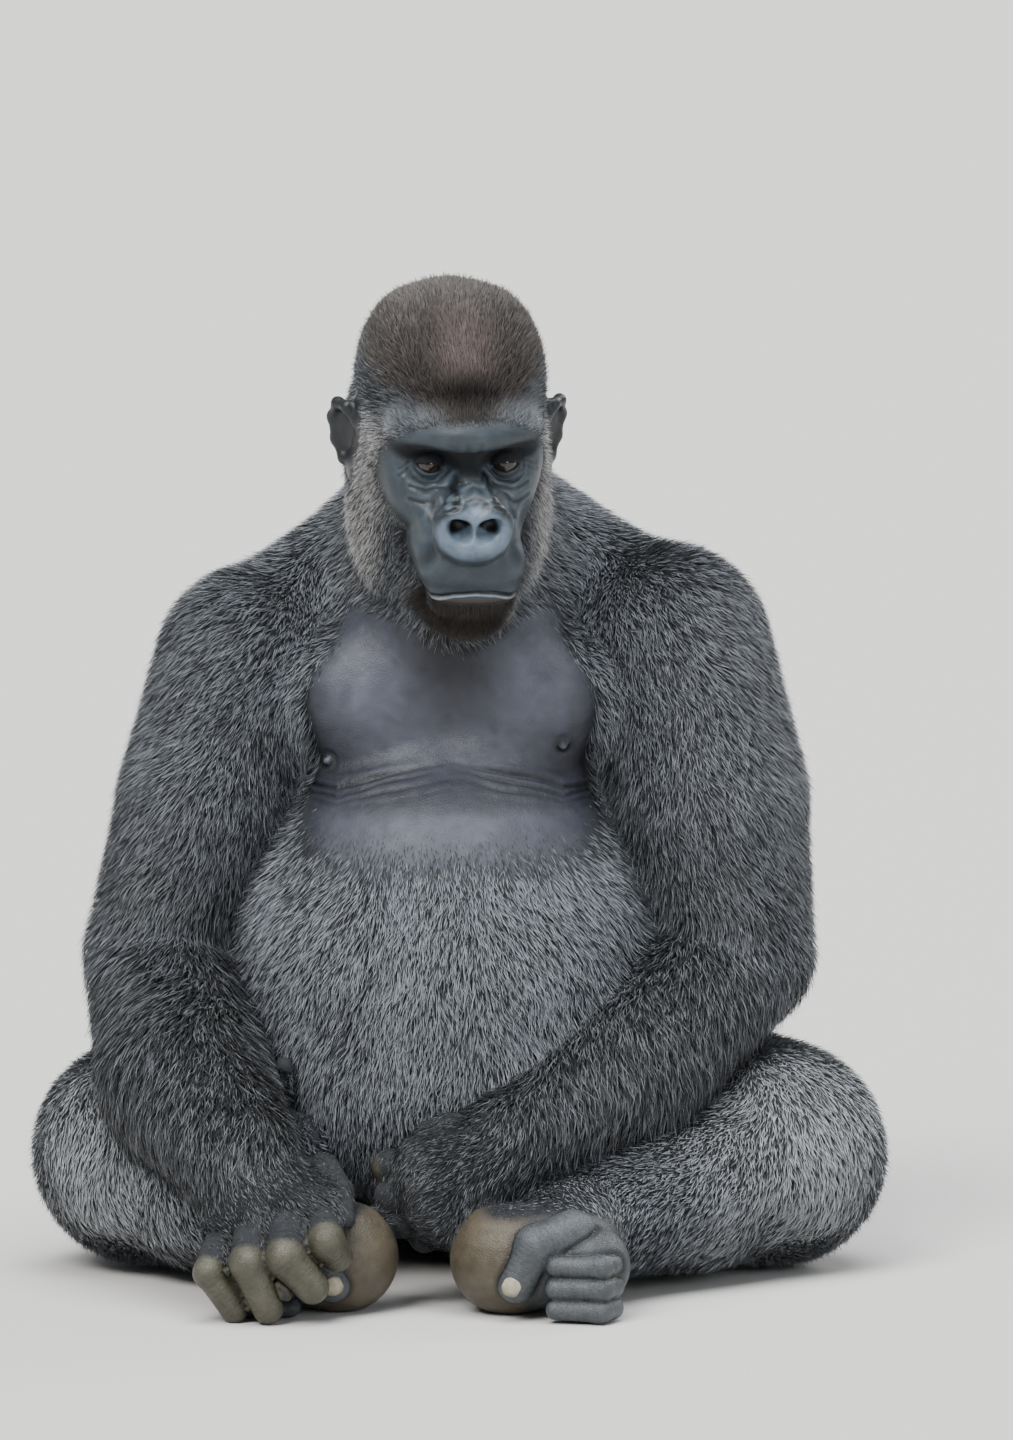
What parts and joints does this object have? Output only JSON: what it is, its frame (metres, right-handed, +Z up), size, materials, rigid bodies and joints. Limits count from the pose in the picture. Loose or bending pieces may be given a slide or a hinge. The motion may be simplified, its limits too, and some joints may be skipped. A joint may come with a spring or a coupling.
{
  "type": "gorilla",
  "caption": "Still life-size gorilla sitting with its knees out, soles turned in and arms resting on its legs; a museum-like model.",
  "frame": {"origin": "middle of the bounding box's base, on the floor under the belly", "axes": "+Z up, -Y the way the chest and belly face, +X the animal's own left side"},
  "size_m": [0.8812, 0.7824, 1.024],
  "materials": {
    "coat": "short dense grey-black hair",
    "head": "short hair round a bare blue-black face",
    "hand": "hairy back, bare fingers",
    "foot": "bare olive-brown sole",
    "ear": "bare skin",
    "eye": "wet gloss"
  },
  "bodies": {
    "root": {"abdomen": "coat", "chest": "coat", "ear_left": "ear", "ear_right": "ear", "eye_left": "eye", "eye_right": "eye", "foot_left": "foot", "foot_right": "foot", "forearm_left": "coat", "forearm_right": "coat", "hand_left": "hand", "hand_right": "hand", "head": "head", "hips": "coat", "neck": "coat", "shin_left": "coat", "shin_right": "coat", "thigh_left": "coat", "thigh_right": "coat", "upper_arm_left": "coat", "upper_arm_right": "coat"}
  },
  "joints": []
}
